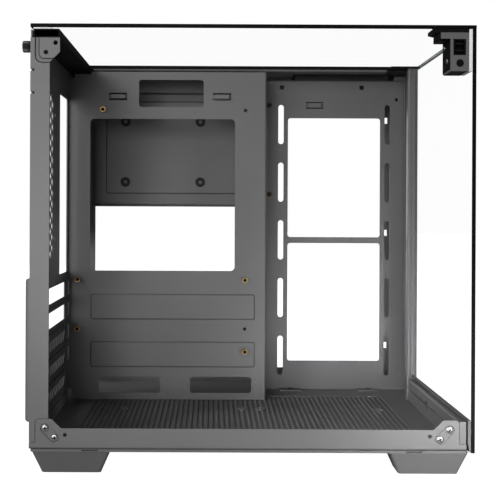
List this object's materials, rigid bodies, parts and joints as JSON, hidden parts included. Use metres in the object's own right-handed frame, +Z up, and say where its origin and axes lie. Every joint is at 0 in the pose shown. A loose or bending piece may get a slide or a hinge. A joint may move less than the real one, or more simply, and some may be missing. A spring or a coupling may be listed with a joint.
{
  "type": "mini-tower computer case",
  "caption": "Empty two-chamber mini-tower computer case of folded steel with glass top and front, open at both sides.",
  "frame": {"origin": "on the ground under the middle of the outline", "axes": "+X towards the front glass, +Y from the open left side towards the right side, +Z up"},
  "size_m": [0.3398, 0.2906, 0.3332],
  "materials": {
    "painted_steel": "fine satin",
    "cover_plastic": "matt",
    "black_plastic": "matt",
    "clear_glass": "polished",
    "brass": "turned",
    "plated_steel": "plated",
    "rubber": "matt",
    "foam": "matt",
    "filter": "woven mesh"
  },
  "bodies": {
    "case": {"audio_jack": "black_plastic", "base_pan": "painted_steel", "block_screws": "plated_steel", "bottom_cover": "cover_plastic", "bracket_screws": "plated_steel", "chamber_front": "painted_steel", "chamber_top": "painted_steel", "controls_housing": "black_plastic", "corner_block": "painted_steel", "corner_bracket": "painted_steel", "corner_screws": "plated_steel", "drive_grommets": "rubber", "drive_plate": "painted_steel", "drive_screws": "plated_steel", "filter_mesh": "filter", "foam_pads": "foam", "foot_front_left": "cover_plastic", "foot_front_right": "cover_plastic", "foot_pads": "rubber", "foot_rear_left": "cover_plastic", "foot_rear_right": "cover_plastic", "front_bottom_rail": "painted_steel", "front_glass": "clear_glass", "front_post": "painted_steel", "glass_lower_strip": "cover_plastic", "glass_plates": "painted_steel", "motherboard_tray": "painted_steel", "rail_clip": "plated_steel", "rear_panel": "painted_steel", "rear_top_rail": "painted_steel", "side_fan_bracket": "painted_steel", "slot_cover_3": "painted_steel", "slot_cover_4": "painted_steel", "slot_cover_5": "painted_steel", "slot_cover_screws": "plated_steel", "slot_shroud": "painted_steel", "snap_socket": "black_plastic", "standoffs": "brass", "thumb_screws": "plated_steel", "top_glass": "clear_glass", "usb_c_socket": "plated_steel", "usb_shells": "plated_steel", "usb_tongues": "black_plastic"},
    "power_button": {"power_button": "black_plastic"},
    "reset_button": {"reset_button": "black_plastic"}
  },
  "joints": [
    {"name": "power_press", "type": "slide", "parent": "case", "child": "power_button", "axis": [0, 0, -1], "range_m": [0, 0.001], "stiffness_N_per_m": 800, "springref_m": -0.001},
    {"name": "reset_press", "type": "slide", "parent": "case", "child": "reset_button", "axis": [0, 0, -1], "range_m": [0, 0.001], "stiffness_N_per_m": 500, "springref_m": -0.001}
  ]
}
